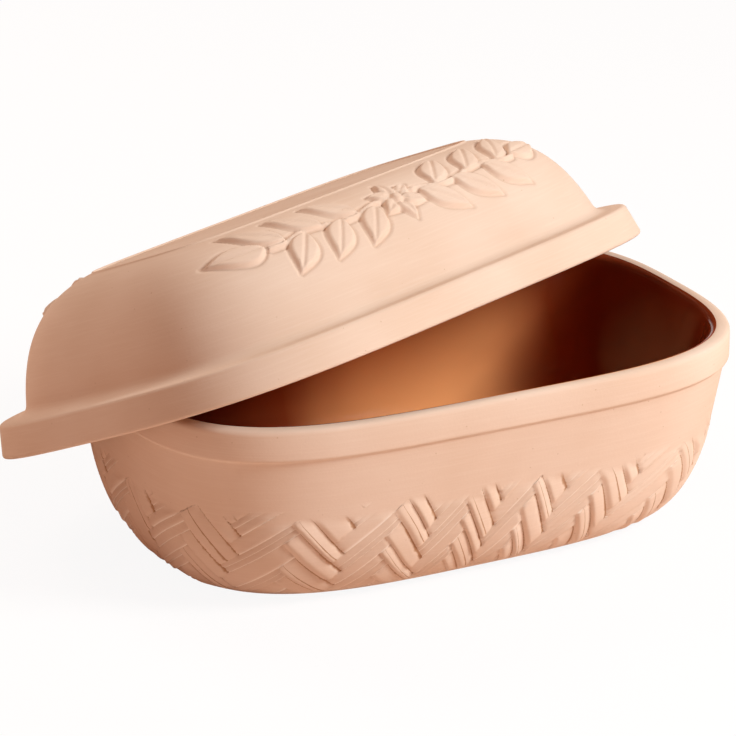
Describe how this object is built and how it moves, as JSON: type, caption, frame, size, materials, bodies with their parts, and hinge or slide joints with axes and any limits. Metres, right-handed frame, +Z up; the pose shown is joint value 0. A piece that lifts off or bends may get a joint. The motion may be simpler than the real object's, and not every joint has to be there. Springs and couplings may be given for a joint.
{
  "type": "clay pot roaster",
  "caption": "Oval terracotta roasting pot, glazed inside and carved with a basket weave, with a domed lid that overhangs the rim, rests askew on it and lifts off.",
  "frame": {"origin": "middle of the base's flat foot, on the surface that the pot stands on", "axes": "+X along the pot's length, +Y to its back, +Z up"},
  "size_m": [0.3789, 0.2987, 0.1878],
  "materials": {
    "terracotta": "unglazed fired clay, matt and slightly porous",
    "brown_glaze": "glossy transparent brown glaze"
  },
  "bodies": {
    "pot": {"base": "terracotta", "glaze_lining": "brown_glaze"},
    "lid": {"lid": "terracotta"}
  },
  "joints": [
    {"name": "lid_lift", "type": "slide", "parent": "pot", "child": "lid", "axis": [0, 0, 1], "range_m": [0, 0.15]}
  ]
}
